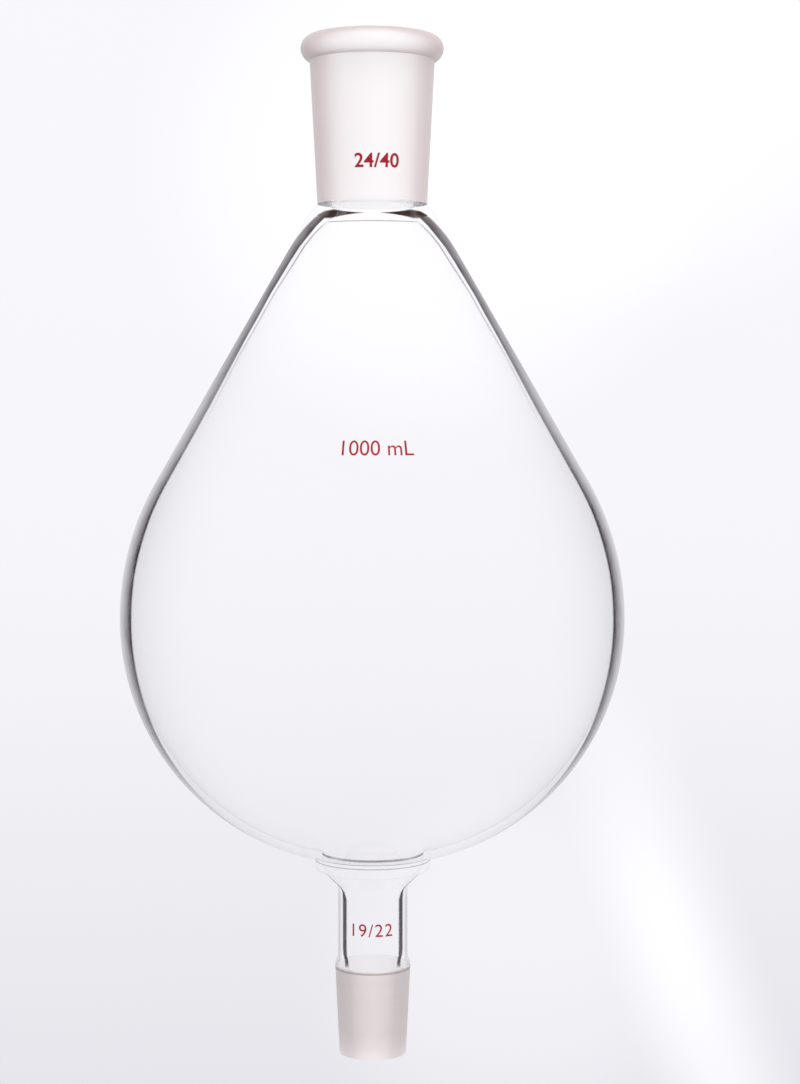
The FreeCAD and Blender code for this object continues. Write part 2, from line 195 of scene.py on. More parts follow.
def level_face_at(*heights):
    """A test for flat faces that lie at one of these heights, where two pieces are fused."""

    def inside(r, z, face):
        return abs(face.normal.z) > 0.99 and any(abs(z - level) < 1e-6 for level in heights)

    return inside


# ---------------------------------------------------------------- shader maths


class Value:
    """A number that varies over a surface, so that sums on it add Math nodes."""

    def __init__(self, graph, socket):
        self.graph, self.socket = graph, socket

    def _maths(self, operation, first, second):
        return self.graph.maths(operation, first, second)

    def __add__(self, other):
        return self._maths("ADD", self, other)

    __radd__ = __add__

    def __sub__(self, other):
        return self._maths("SUBTRACT", self, other)

    def __rsub__(self, other):
        return self._maths("SUBTRACT", other, self)

    def __mul__(self, other):
        return self._maths("MULTIPLY", self, other)

    __rmul__ = __mul__

    def __truediv__(self, other):
        return self._maths("DIVIDE", self, other)

    def __pow__(self, other):
        return self._maths("POWER", self, other)


class Graph:
    """Adds nodes to a material or to the world."""

    def __init__(self, owner):
        owner.use_nodes = True
        self.tree = owner.node_tree
        self.tree.nodes.clear()

    def node(self, kind, settings=None, **inputs):
        """One node: its settings first, then the values or links of its sockets."""
        node = self.tree.nodes.new("ShaderNode" + kind)
        stops = (settings or {}).pop("stops", None)
        for key, value in (settings or {}).items():
            setattr(node, key, value)
        if stops:
            self.set_stops(node.color_ramp, stops)
        for key, value in inputs.items():
            wanted = key.replace("_", " ").lower()
            number = int(key[1:]) if key[0] == "n" and key[1:].isdigit() else None
            socket = node.inputs[number] if number is not None else next(
                i for i in node.inputs if i.name.lower() == wanted and i.enabled
            )
            self.feed(socket, value)
        return node

    @staticmethod
    def set_stops(ramp, stops):
        while len(ramp.elements) < len(stops):
            ramp.elements.new(1.0)
        for element, (place, colour) in zip(ramp.elements, stops):
            element.position, element.color = place, colour

    def feed(self, socket, value):
        if isinstance(value, Value):
            value = value.socket
        if isinstance(value, bpy.types.NodeSocket):
            self.tree.links.new(value, socket)
        else:
            socket.default_value = value

    def maths(self, operation, first, second=0.0, clamp=False):
        node = self.node("Math", {"operation": operation, "use_clamp": clamp}, n0=first, n1=second)
        return Value(self, node.outputs[0])

    def value(self, node, output=0):
        return Value(self, node.outputs[output])


def srgb(r, g, b):
    """A colour given as it looks, 0 to 255, made linear."""
    linear = [c / 255 / 12.92 if c <= 10 else ((c / 255 + 0.055) / 1.055) ** 2.4 for c in (r, g, b)]
    return (*linear, 1.0)


# ---------------------------------------------------------------- materials

GLASS_IOR = 1.473
THIN_IOR = 1.35
WALL_SHINE = 0.6
STEEP, STEEP_FADE = 0.65, 0.3
# Colours of the painted shade that stands in for dark refraction in thick glass.
SHADE_BROWN_GREY = (0.05, 0.035, 0.035, 1)
SHADE_VIOLET_GREY = (0.05, 0.04, 0.052, 1)

# How dark the painted shade on a wall that is looked down on is, as (how far it turns away from the eye,
# level) pairs.
EDGE_ON_SHADE = [
    (0.0, 0.0), (0.70, 0.0), (0.722, 0.38), (0.737, 0.86),
    (0.76, 0.88), (0.80, 0.68), (0.85, 0.42), (1.0, 0.12),
]

# The painted shade on the bulb's wall, as (height over the seal under the socket in millimetres, value)
# pairs.
# Places run from 0 in the middle of the vessel to 1 at its side. First the painted dark band: where it starts
# and ends, how dark it is, and how dark its outer part is beside its inner part. Then the place and level of
# the painted thin dark line inside it, and the faint painted side shade. The painted dark lens under the
# socket has (place, share of its full height) pairs.
BAND_STARTS = [
    (-162, 0.58), (-153, 0.6), (-143, 0.61), (-128, 0.662), (-113, 0.675), (-101, 0.69), (-88, 0.70),
    (-73, 0.69), (-61, 0.665), (-48.5, 0.64), (-36, 0.63), (-30.8, 0.626), (-25.8, 0.607), (-20.8, 0.6),
    (-17, 0.568), (-13.3, 0.538), (-9.55, 0.49), (-7.05, 0.42), (-4.55, 0.35), (-2.6, 0.27), (-1.4, 0.2),
]
BAND_ENDS = [
    (-162, 1.0), (-17, 1.0), (-13.3, 0.98), (-9.55, 0.93),
    (-7.05, 0.83), (-4.55, 0.68), (-2.6, 0.55), (-1.4, 0.45),
]
BAND_DARK = [
    (-162, 0.1), (-153, 0.15), (-143, 0.3), (-128, 0.75), (-113, 0.88), (-101, 1.0), (-73, 1.0), (-61, 0.85),
    (-48.5, 0.75), (-36, 0.82), (-20, 0.92), (-2.2, 0.94), (-1.9, 0.0), (-1, 0.0),
]
BAND_OUTER = [(-162, 0.2), (-73, 0.2), (-48.5, 0.35), (-36, 0.5), (-20, 0.55), (-1, 0.6)]
LINE_PLACE = [
    (-162, 0.46), (-160.5, 0.5), (-153, 0.63), (-143, 0.66), (-60, 0.6), (-36, 0.6), (-25.8, 0.558),
    (-20.8, 0.54), (-17, 0.499), (-13.3, 0.456), (-9.55, 0.415), (-7.05, 0.36), (-4.6, 0.28), (-2.6, 0.2),
]
LINE_DARK = [
    (-162, 0.5), (-150, 0.5), (-142, 0.25), (-134, 0.0), (-60, 0.0), (-45, 0.15), (-36, 0.2), (-20, 0.35),
    (-13, 0.5), (-9.5, 0.55), (-5, 0.4), (-3.2, 0.0), (-1, 0.0),
]
SIDE_SHADE_LEVEL = [(-162, 0.0), (-150, 0.14), (-75, 0.19), (-60, 0.12), (-36, 0.04), (-25, 0.0), (0, 0.0)]
LENS_HALF = [(0.0, 0), (0.02, 0.1), (0.08, 0.4), (0.2, 1), (0.34, 0.8), (0.46, 0.0)]

# The painted shade on the drain tube and its flare, as (height in millimetres, value) pairs: where the dark
# band's middle is, half its width, how dark it is, and how dark the glass outside it is. TUBE_SIDE has
# (place, level) pairs for that painted shade.
TUBE_PLACE = [
    (-0.3, 0.25), (0.5, 0.27), (2, 0.33), (3.5, 0.4), (5, 0.418), (17.5, 0.418), (19, 0.46), (20, 0.53),
    (21.5, 0.57), (23.2, 0.62), (25, 0.64),
]
TUBE_HALF = [
    (-0.3, 0.04), (0.5, 0.05), (2, 0.07), (3.5, 0.09), (5, 0.1), (17.5, 0.1), (19, 0.07), (20, 0.045),
    (21.5, 0.04), (23.2, 0.035), (25, 0.03),
]
TUBE_DARK = [
    (-0.3, 0.0), (0.6, 0.0), (1.2, 0.8), (2, 1.0), (5, 1.0), (17.5, 1.0), (19, 1.0), (20, 0.9), (21.5, 0.8),
    (23.2, 0.6), (23.8, 0.0), (25, 0.0),
]
TUBE_OUTER = [(-0.3, 0.4), (2, 0.8), (4, 1.0), (17, 1.0), (19, 0.6), (23, 0.3), (25, 0.2)]
TUBE_SIDE = [(0.0, 0), (0.5, 0), (0.56, 0.04), (0.7, 0.3), (0.86, 0.12), (1.0, 0.4)]

# The outlet's painted dark rings of shade by height, and how dark the upper one is round its side.
RIM_SHADE_RING = [(27, 0.0), (27.9, 0.0), (28.1, 0.8), (28.5, 0.8), (28.7, 0.0), (31, 0.0)]
RIM_SIDE = [(0.0, 0.85), (0.1, 0.85), (0.3, 0.6), (0.5, 0.9), (1.0, 1.0)]
COLLAR_SHADE_RINGS = [
    (25, 0.0), (26.4, 0.0), (26.5, 0.4), (26.7, 0.4), (26.8, 0.0),
    (27.5, 0.0), (27.6, 0.6), (27.75, 0.6), (27.85, 0.0), (29, 0.0),
]
EVEN = [(0.0, 1.0), (1.0, 1.0)]

# Painted shade on the two joints: how light they are as they turn away from the eye, and how light the cone
# is by height in millimetres, lighter towards its tip and with a dark line just under the top of its frost.
SOCKET_SHADE_TINTS = [
    (0.0, 1.0), (0.1, 0.96), (0.18, 0.91), (0.294, 0.8),
    (0.37, 0.72), (0.46, 0.66), (0.58, 0.61), (1.0, 0.62),
]
CONE_SHADE_TINTS = [(0.0, 1.0), (0.04, 0.95), (0.112, 0.86), (0.24, 0.68), (0.44, 0.62), (0.7, 0.64), (1.0, 0.68)]
CONE_SHADE_LEVELS = [
    (-22.5, 1.0), (-21.3, 1.0), (-19.5, 0.9), (-16, 0.8), (-2.5, 0.78), (-0.75, 0.8), (-0.6, 0.42),
    (-0.3, 0.38), (-0.1, 0.85), (0.5, 0.95),
]


def new_look(name):
    """A new material and the graph that fills it."""
    material = bpy.data.materials.new(name)
    return material, Graph(material)


def level_at(g, place, pairs):
    """A level that changes along a place, both from 0 to 1, from (place, level) pairs."""
    stops = [(at, (level, level, level, 1)) for at, level in pairs]
    return g.value(g.node("ValToRGB", {"stops": stops}, Fac=place))


def height_of(g):
    """The height over the lower joint's gauge plane, in millimetres."""
    place = g.node("TexCoord").outputs["Object"]
    return g.value(g.node("SeparateXYZ", Vector=place), "Z") / MM


def by_height(g, pairs):
    """A level that changes with height, from (millimetres, level) pairs."""
    low, high = pairs[0][0], pairs[-1][0]
    places = [((z - low) / (high - low), level) for z, level in pairs]
    return level_at(g, (height_of(g) - low) / (high - low), places)


def patches(g, scale, detail):
    """Fine cloudy unevenness, from 0 to 1."""
    place = g.node("TexCoord").outputs["Object"]
    return g.node("TexNoise", Vector=place, Scale=scale, Detail=detail).outputs["Fac"]


def drawn_grain(g, across, along, detail, roughness):
    """Unevenness that is drawn out along or round the glass, from 0 to 1."""
    place = g.node("TexCoord").outputs["Object"]
    drawn = g.node("Mapping", Vector=place, Scale=(across, across, along)).outputs[0]
    return g.value(g.node("TexNoise", Vector=drawn, Scale=1.0, Detail=detail, Roughness=roughness), "Fac")


def facing_away(g):
    """How far the surface turns away from the eye, from 0 to 1."""
    return g.node("LayerWeight", Blend=0.5).outputs["Facing"]


def on_side(g, inside):
    """1 where the surface is met from outside the glass or, with inside, from within it."""
    within = g.value(g.node("NewGeometry"), "Backfacing")
    return within if inside else 1.0 - within


def upright(g):
    """The vertical direction, as a vector that a Layer Weight node takes."""
    place = g.node("TexCoord").outputs["Object"]
    flat = g.node("VectorMath", {"operation": "MULTIPLY"}, n0=place, n1=(0, 0, 0.001)).outputs[0]
    lifted = g.node("VectorMath", {"operation": "ADD"}, n0=flat, n1=(0, 0, 1)).outputs[0]
    return g.node("VectorMath", {"operation": "NORMALIZE"}, n0=lifted).outputs[0]


def steepness(g):
    """How steeply the glass is looked down on, from 0 for a level look to 1 from straight above."""
    return 1.0 - g.value(g.node("LayerWeight", Blend=0.5, Normal=upright(g)), "Facing")


def side_on(g):
    """How far round its side the vessel is seen, whatever its slope: 0 in the middle, 1 at its edge."""
    place = g.node("TexCoord").outputs["Object"]
    flat = g.node("VectorMath", {"operation": "MULTIPLY"}, n0=place, n1=(1, 1, 0)).outputs[0]
    outward = g.node("VectorMath", {"operation": "NORMALIZE"}, n0=flat).outputs[0]
    across = 1.0 - g.value(g.node("LayerWeight", Blend=0.5, Normal=outward), "Facing")
    level = g.maths("MAXIMUM", 1.0 - steepness(g) ** 2, 0.04) ** 0.5
    return 1.0 - across / level


def limited(g, level):
    """A level cut off at 0 and at 1."""
    return g.maths("MULTIPLY", level, 1.0, clamp=True)


def darkest(g, first, *others):
    """The greatest of some levels."""
    for other in others:
        first = g.maths("MAXIMUM", first, other)
    return first


def band(g, place, middle, half, soft=0.35):
    """A dark band, from 0 to 1, where place is within half of middle, with soft edges."""
    away = g.maths("ABSOLUTE", place - middle) / half
    return limited(g, (1.0 - away) / soft)


def thin_wall(g):
    """Glass drawn as if it were too thin to bend light: it only mirrors a little at grazing angles."""
    gloss = g.node("BsdfGlossy", Roughness=0.03)
    clear = g.node("BsdfTransparent")
    glint = g.value(g.node("Fresnel", IOR=THIN_IOR)) * WALL_SHINE * on_side(g, False)
    return g.node("MixShader", n0=glint, n1=clear.outputs[0], n2=gloss.outputs[0])


def dull(g, colour):
    """A colour without any gloss."""
    return g.node("BsdfPrincipled", Base_Color=colour, Roughness=1.0, Specular_IOR_Level=0.0)


def shade(g, dark, colour):
    """Makes the surface a clear wall mixed with painted shade, a dull dark colour where thick glass looks
    dark.

    The painted shade fades where the wall is looked down on, and a painted dark rim takes its place.
    """
    # Painted shade: the dark levels mix a dull dark colour into the clear wall.
    level_look = limited(g, (STEEP - steepness(g)) / STEEP_FADE)
    rim = level_at(g, facing_away(g), EDGE_ON_SHADE) * on_side(g, False)
    dark = darkest(g, dark * level_look, rim * (1.0 - level_look))
    wall, edge = thin_wall(g), dull(g, colour)
    both = g.node("MixShader", n0=limited(g, dark), n1=wall.outputs[0], n2=edge.outputs[0])
    g.node("OutputMaterial", Surface=both.outputs[0])


def plain_glass(name):
    """Clear glass without bands: the inside of every wall, and the blends between the pieces."""
    material, g = new_look(name)
    g.node("OutputMaterial", Surface=thin_wall(g).outputs[0])
    return material


def rim_glass(name, side, rings, inside):
    """The melted rim of the outlet or its collar, with painted shade in dark rings by height. side is their
    level round it.
    """
    material, g = new_look(name)
    # Painted shade: dark rings mixed into the clear rim.
    dark = level_at(g, side_on(g), side)
    shade(g, dark * by_height(g, rings) * on_side(g, inside), SHADE_BROWN_GREY)
    return material


def tube_glass(name):
    """The drain tube and its flare: a band of painted shade runs down each side, where the wall is seen edge
    on.
    """
    material, g = new_look(name)
    round_side = side_on(g)
    # Painted shade: a dark band and a dark outer edge, streaked along the tube.
    shade_streaks = drawn_grain(g, 900.0, 25.0, 3.0, 0.6)
    line = band(g, round_side, by_height(g, TUBE_PLACE), by_height(g, TUBE_HALF), 0.5)
    line = line * by_height(g, TUBE_DARK) * (0.8 + 0.3 * shade_streaks)
    edge = level_at(g, round_side, TUBE_SIDE) * by_height(g, TUBE_OUTER)
    shade(g, darkest(g, line, edge) * on_side(g, False), SHADE_VIOLET_GREY)
    return material


def blown_glass(name, seal):
    """The bulb's wall from neck to outlet: painted shade in a dark band down each side, and in a dark brown
    lens under the socket.

    seal is the height of the seal under the socket in millimetres.
    """
    material, g = new_look(name)
    patch = Value(g, patches(g, 260.0, 3.0))
    height, round_side = height_of(g), side_on(g)
    below = lambda pairs: by_height(g, [(seal + z, level) for z, level in pairs])

    # Painted shade: a dark lens under the socket, dark side bands, a thin dark line, a dark arc and a faint
    # side shade.
    half = level_at(g, round_side, LENS_HALF) * 1.35 + 0.001
    lens = band(g, height, seal - 1.8, half) * g.maths("GREATER_THAN", half, 0.06) * (0.6 + 0.7 * patch)

    starts, outer = below(BAND_STARTS), below(BAND_OUTER)
    rise = limited(g, (round_side - starts) / 0.025)
    fall = limited(g, (below(BAND_ENDS) - round_side) / 0.08)
    depth = limited(g, (1.0 - round_side) / (1.0 - starts) * 1.09)
    wall = rise * fall * below(BAND_DARK) * (outer + (1.0 - outer) * depth * depth) * (0.86 + 0.28 * patch)

    line = band(g, round_side, below(LINE_PLACE), 0.022, 0.6) * below(LINE_DARK)
    near_middle = limited(g, (0.26 - round_side) / 0.08)
    arc = band(g, height, seal - 3.8, 0.2, 0.6) * near_middle * 0.5
    side_shade = limited(g, (round_side - 0.2) / 0.5) ** 2 * below(SIDE_SHADE_LEVEL)

    dark = darkest(g, lens, wall, line, arc, side_shade) * on_side(g, False)
    # The painted shade's colour: violet grey on the bulb, turning brown grey and then dark brown in the 11 mm
    # under the seal.
    stops = [(0.0, (0.045, 0.036, 0.042, 1)), (0.75, (0.05, 0.03, 0.03, 1)), (1.0, (0.035, 0.016, 0.008, 1))]
    colour = g.node("ValToRGB", {"stops": stops}, Fac=(height - seal + 11.0) / 11.0).outputs["Color"]
    shade(g, dark, colour)
    return material


def socket_wall_glass(name, tints):
    """The socket's outside: milky over its ground bore, with painted shade by tints that makes it darker and
    warmer towards its sides.
    """
    material, g = new_look(name)
    # Painted shade: the tint darkens and warms the socket as it turns away from the eye.
    warm = lambda tint, most: tint * (0.965 - most * (1.0 - tint))
    stops = [(at, (tint, warm(tint, 0.3), warm(tint, 0.32), 1)) for at, tint in tints]
    tint = g.node("ValToRGB", {"stops": stops}, Fac=facing_away(g)).outputs["Color"]
    within = on_side(g, True)
    colour = g.node("Mix", {"data_type": "RGBA"}, n0=within, n6=tint, n7=(1, 1, 1, 1)).outputs[2]
    clear = g.node(
        "BsdfPrincipled",
        Base_Color=colour,
        Roughness=0.28,
        IOR=GLASS_IOR,
        Transmission_Weight=1.0,
        Coat_Weight=0.3,
    )
    milky = dull(g, tint)
    both = g.node("MixShader", n0=on_side(g, False) * 0.6, n1=clear.outputs[0], n2=milky.outputs[0])
    g.node("OutputMaterial", Surface=both.outputs[0])
    return material


def ground_glass(name, colour, roughness, tints, chalk, deep, levels):
    """A ground joint's frosted face, with painted shade: darker by tints towards its sides and by levels
    along its height.

    chalk is the share that scatters white, and deep its colour from within.
    """
    material, g = new_look(name)
    lathe = drawn_grain(g, 60.0, 2200.0, 2.0, 0.5)
    bump = g.node("Bump", Strength=0.15, Distance=0.00005, Height=patches(g, 2500.0, 2.0)).outputs[0]
    # Painted shade: the tint changes as the face turns away from the eye and with height.
    stops = [(at, tuple(min(1.0, c * tint) for c in colour) + (1,)) for at, tint in tints]
    tint = g.node("ValToRGB", {"stops": stops}, Fac=facing_away(g)).outputs["Color"]
    within = on_side(g, True)
    tint = g.node("VectorMath", {"operation": "SCALE"}, n0=tint, Scale=by_height(g, levels)).outputs[0]
    tint = g.node("Mix", {"data_type": "RGBA"}, n0=within, n6=tint, n7=(*deep, 1)).outputs[2]
    frost = g.node(
        "BsdfPrincipled",
        Base_Color=tint,
        Roughness=roughness,
        IOR=GLASS_IOR,
        Transmission_Weight=1.0,
        Normal=bump,
    )
    white = g.node("BsdfPrincipled", Base_Color=tint, Roughness=0.9, Specular_IOR_Level=0.1, Normal=bump)
    share = (chalk + (lathe - 0.5) * 0.2) * (1.0 - within)
    both = g.node("MixShader", n0=share, n1=frost.outputs[0], n2=white.outputs[0])
    g.node("OutputMaterial", Surface=both.outputs[0])
    return material


def fused_seam(name):
    """Where two pieces are melted together light goes straight on."""
    material, g = new_look(name)
    g.node("OutputMaterial", Surface=g.node("BsdfTransparent").outputs[0])
    return material


def red_enamel(name):
    """Fired-on red enamel, a little uneven where the screen print is thin."""
    material, g = new_look(name)
    thin = patches(g, 1800.0, 3.0)
    stops = [(0.3, srgb(148, 28, 40)), (0.7, srgb(174, 40, 52))]
    colour = g.node("ValToRGB", {"stops": stops}, Fac=thin).outputs["Color"]
    bump = g.node("Bump", Strength=0.2, Distance=0.00002, Height=thin).outputs[0]
    shader = g.node("BsdfPrincipled", Base_Color=colour, Roughness=0.5, Specular_IOR_Level=0.2, Normal=bump)
    g.node("OutputMaterial", Surface=shader.outputs[0])
    return material


# ---------------------------------------------------------------- the five pieces of glass


def shoulder_foot(s):
    """Where the shoulder leaves the belly's arc: the centres of the arc and of the turn, and the angle."""
    hub = (s["bulb"] - BELLY_ARC, s["widest"])
    drop = THROAT_TURN * math.sin(math.radians(45))
    turn = (THROAT_OUTER - drop, s["socket_low"] - drop)
    across, up = turn[0] - hub[0], turn[1] - hub[1]
    return hub, turn, math.atan2(up, across) - math.acos((BELLY_ARC - THROAT_TURN) / math.hypot(across, up))


def make_socket(s, looks):
    low, top, ground = s["socket_low"], s["top"], s["gauge"] - s["ground"]
    wide, narrow = s["mouth"], s["throat"]
    roll, roll_foot, mouth_round, tail_round = 3.2 * MM, 72, 1.25 * MM, 0.8 * MM
    crest, lean = s["rim"] - roll, math.radians(roll_foot)
    tail = low + (THROAT_OUTER - narrow - SOCKET_WALL)
    section = Section(narrow, low)
    section.to(THROAT_OUTER, low)
    section.to(narrow + SOCKET_WALL, tail, tail_round)
    section.to(crest + roll * math.cos(lean), top - roll - roll * math.sin(lean))
    section.arc(crest, top - roll, roll_foot + 90, 30)
    section.to(wide, top, mouth_round)
    section.to(narrow, ground)
    section.close()
    on_taper = lambda r, z, f: abs(r - (narrow + (z - ground) / TAPER_RUN)) < 0.3 * MM
    bore = lambda r, z, f: z > ground and on_taper(r, z, f) and abs(f.normal.z) < 0.3
    inner = lambda r, z, f: r < narrow + 0.1 * MM
    clear_tail = lambda r, z, f: z < tail + 0.15 * MM and r > narrow + 1.5 * MM
    piece = section.turn(
        "socket_glass",
        [looks["socket_clear"], looks["ground_bore"], looks["blend"], looks["seam"], looks["blown"]],
        [(2, inner), (1, bore), (4, clear_tail), (3, level_face_at(low))],
    )
    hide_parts("top_socket")


def make_upper_bulb(s, looks):
    low, high = s["widest"], s["socket_low"]
    hub, turn, lean = shoulder_foot(s)
    throat_edge, throat_flare, edge_round, flare_round = 1.6 * MM, 47, 1.2 * MM, 6.0 * MM
    inner_arc = BELLY_ARC - BULB_WALL
    degrees = math.degrees(lean)
    foot_in = (hub[0] + inner_arc * math.cos(lean), hub[1] + inner_arc * math.sin(lean))
    slope = math.tan(lean)
    edge = (s["throat"], high - throat_edge)
    flare = math.tan(math.radians(throat_flare))
    drop = (foot_in[0] + (foot_in[1] - edge[1]) * slope - edge[0]) / (flare - slope)
    bend = (edge[0] + drop * flare, edge[1] - drop)
    section = Section(s["bulb"], low)
    section.arc(*hub, degrees, 40)
    section.to(turn[0] + THROAT_TURN * math.cos(lean), turn[1] + THROAT_TURN * math.sin(lean))
    section.arc(*turn, 45 - degrees, 4)
    section.to(s["throat"], high)
    section.to(*edge, edge_round)
    section.to(*bend, flare_round)
    section.to(*foot_in)
    section.arc(*hub, -degrees, 40)
    section.close()
    piece = section.turn(
        "shoulder_glass",
        [looks["blown"], looks["blend"], looks["seam"]],
        [(1, faces_in), (2, level_face_at(low, high))],
    )
    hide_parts("upper_bulb")


def make_lower_bulb(s, looks):
    low, high = s["stem_high"], s["widest"]
    run, depth = s["bulb"] - s["collar"], high - low - 2.5 * MM
    bowl = (run * run + depth * depth) / (2 * run)
    hub = (s["bulb"] - bowl, high)
    inner_arc, fillet, lip = bowl - BULB_WALL, 0.9 * MM, 1.8 * MM
    groove = hub[1] - math.sqrt((bowl + fillet) ** 2 - (s["collar"] + fillet - hub[0]) ** 2)
    rim = hub[1] - math.sqrt((inner_arc + lip) ** 2 - (OUTLET_BORE + lip - hub[0]) ** 2)
    outer_sweep = math.degrees(math.atan2(high - groove, s["collar"] + fillet - hub[0]))
    inner_sweep = math.degrees(math.atan2(high - rim, OUTLET_BORE + lip - hub[0]))
    section = Section(s["collar"], low)
    section.to(s["collar"], groove)
    section.arc(s["collar"] + fillet, groove, -outer_sweep, 10)
    section.arc(*hub, outer_sweep, 80)
    section.to(s["bulb"] - BULB_WALL, high)
    section.arc(*hub, -inner_sweep, 80)
    section.arc(OUTLET_BORE + lip, rim, inner_sweep, 12)
    section.to(OUTLET_BORE, low)
    section.close()
    melted = lambda r, z, f: z < low + 4.9 * MM and faces_in(r, z, f)
    at_collar = lambda r, z: z < groove + 0.95 * MM and r < s["collar"] + 0.8 * MM
    collar = lambda r, z, f: at_collar(r, z) and not faces_in(r, z, f)
    piece = section.turn(
        "bowl_glass",
        [looks["blown"], looks["blend"], looks["rim"], looks["collar"], looks["seam"]],
        [(1, faces_in), (2, melted), (3, collar), (4, level_face_at(low, high))],
    )
    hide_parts("lower_bulb")


def under_bead(passes, lean, bead, bead_radius, fillet):
    """The centre of the fillet between the flare's outside, which runs through a point, and the bead."""
    along, away = (math.sin(lean), math.cos(lean)), (math.cos(lean), -math.sin(lean))
    apart = [b - p - fillet * a for b, p, a in zip(bead, passes, away)]
    ahead, aside = (apart[0] * v[0] + apart[1] * v[1] for v in (along, away))
    run = ahead - math.sqrt((bead_radius + fillet) ** 2 - aside**2)
    return tuple(p + run * a + fillet * b for p, a, b in zip(passes, along, away))


def make_stem(s, looks):
    low, high = s["stem_low"], s["stem_high"]
    bend, lip, bead, fillet, lean = 2.5 * MM, 0.6 * MM, 1.2 * MM, 0.5 * MM, math.radians(45)
    tube_round = 2.0 * MM
    knee_r, hip_r = s["drain"] + bend, OUTLET_BORE - lip
    across, up = math.cos(lean), math.sin(lean)
    knee = high - (bend + lip + (hip_r - knee_r) * across) / up
    tube, step = s["drain"] + DRAIN_WALL, bend - FLARE_WALL
    passes = (knee_r - step * across, knee + step * up)
    bead_r = s["collar"] - bead
    hollow = under_bead(passes, lean, (bead_r, high), bead, fillet)
    meets = math.atan2(hollow[1] - high, hollow[0] - bead_r)
    section = Section(s["drain"], low)
    section.to(tube, low)
    section.to(tube, passes[1] + (tube - passes[0]) / math.tan(lean), tube_round)
    section.to(hollow[0] - fillet * across, hollow[1] + fillet * up)
    section.arc(*hollow, math.degrees(meets + lean), 8)
    section.arc(bead_r, high, -math.degrees(meets), 16)
    section.to(OUTLET_BORE, high)
    section.arc(hip_r, high, -math.degrees(lean), 8)
    section.to(knee_r - bend * across, knee + bend * up)
    section.arc(knee_r, knee, math.degrees(lean), 14)
    section.close()
    piece = section.turn(
        "stem_glass",
        [looks["tube"], looks["blend"], looks["seam"]],
        [(1, faces_in), (2, level_face_at(low, high))],
    )
    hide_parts("drain_stem")


def make_cone(s, looks):
    top, tip = s["stem_low"], s["tip"]
    bore, tube, wide = s["drain"], s["drain"] + DRAIN_WALL, s["cone"]
    narrow = wide - s["cone_ground"] / TAPER_RUN
    skin, ledge = 0.02 * MM, 0.5 * MM
    section = Section(bore, top)
    section.to(tube, top)
    section.to(tube + skin, top - 1.2 * MM, 3.0 * MM)
    section.to(wide, ledge, 1.2 * MM)
    section.to(narrow - skin, tip, 0.5 * MM)
    section.to(bore, tip, 0.45 * MM)
    section.close()
    frost = lambda r, z, f: -s["cone_ground"] < z < 0 and r > bore + 0.9 * MM
    polished = lambda r, z, f: z < tip + 0.6 * MM and not frost(r, z, f)
    shoulder = lambda r, z, f: z > -0.2 * MM and not faces_in(r, z, f)
    piece = section.turn(
        "cone_glass",
        [looks["tube"], looks["blend"], looks["ground_cone"], looks["seam"]],
        [(1, faces_in), (2, frost), (0, shoulder), (1, polished), (3, level_face_at(top))],
    )
    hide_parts("lower_cone")


# ---------------------------------------------------------------- enamel marks

FIGURE_SHARE = 0.7
MARK_CUTS = 24
MARK_LIFT = 0.01 * MM
MARK_THICK = 0.05 * MM


def make_mark(name, text, height, middle, radius_at, material, spread=1.0, offset=0.0):
    """Red figures laid round the front of the glass. radius_at gives the wall's radius at a height."""
    curve = bpy.data.curves.new(name, "FONT")
    curve.body = text
    curve.size = height / FIGURE_SHARE
    curve.align_x, curve.align_y = "CENTER", "CENTER"
    curve.space_character = spread
    curve.offset = offset
    words = bpy.data.objects.new(name, curve)
    bpy.context.scene.collection.objects.link(words)
    flat = bpy.data.meshes.new_from_object(words.evaluated_get(bpy.context.evaluated_depsgraph_get()))
    bpy.data.objects.remove(words)
    bm = bmesh.new()
    bm.from_mesh(flat)
    bpy.data.meshes.remove(flat)
    low, high = min(v.co.y for v in bm.verts), max(v.co.y for v in bm.verts)
    left, right = min(v.co.x for v in bm.verts), max(v.co.x for v in bm.verts)
    for cut in range(1, MARK_CUTS):
        at = left + (right - left) * cut / MARK_CUTS
        everything = bm.verts[:] + bm.edges[:] + bm.faces[:]
        bmesh.ops.bisect_plane(bm, geom=everything, plane_co=(at, 0, 0), plane_no=(1, 0, 0))
    bmesh.ops.solidify(bm, geom=bm.faces[:], thickness=-MARK_THICK)
    for v in bm.verts:
        z = middle[1] + v.co.y - (low + high) / 2
        r = radius_at(z) + MARK_LIFT + v.co.z
        turn = (v.co.x - (left + right) / 2 + middle[0]) / radius_at(middle[1])
        v.co = (r * math.sin(turn), -r * math.cos(turn), z)
    bmesh.ops.recalc_face_normals(bm, faces=bm.faces)
    finish_piece(name, bm, [material])


def make_marks(s, enamel):
    _, turn, lean = shoulder_foot(s)
    slope, tip = math.tan(lean), s["tip"]
    crook = (turn[0] + THROAT_TURN * math.cos(lean), turn[1] + THROAT_TURN * math.sin(lean))
    socket_r = lambda z: s["throat"] + SOCKET_WALL + (z - s["gauge"] + s["ground"]) / TAPER_RUN
    shoulder_r = lambda z: crook[0] + (crook[1] - z) * slope
    stem_r = lambda z: s["drain"] + DRAIN_WALL
    at_top, at_bulb = (1.3 * MM, tip + 220.3 * MM), (1.8 * MM, tip + 151.9 * MM)
    at_stem = (0.0, tip + 32.8 * MM)
    make_mark("joint_mark_top", "24/40", 3.3 * MM, at_top, socket_r, enamel, 1.03, 0.08 * MM)
    make_mark("capacity_mark", "1000 mL", 3.4 * MM, at_bulb, shoulder_r, enamel)
    make_mark("joint_mark_low", "19/22", 3.15 * MM, at_stem, stem_r, enamel, 1.12)


# ---------------------------------------------------------------- studio

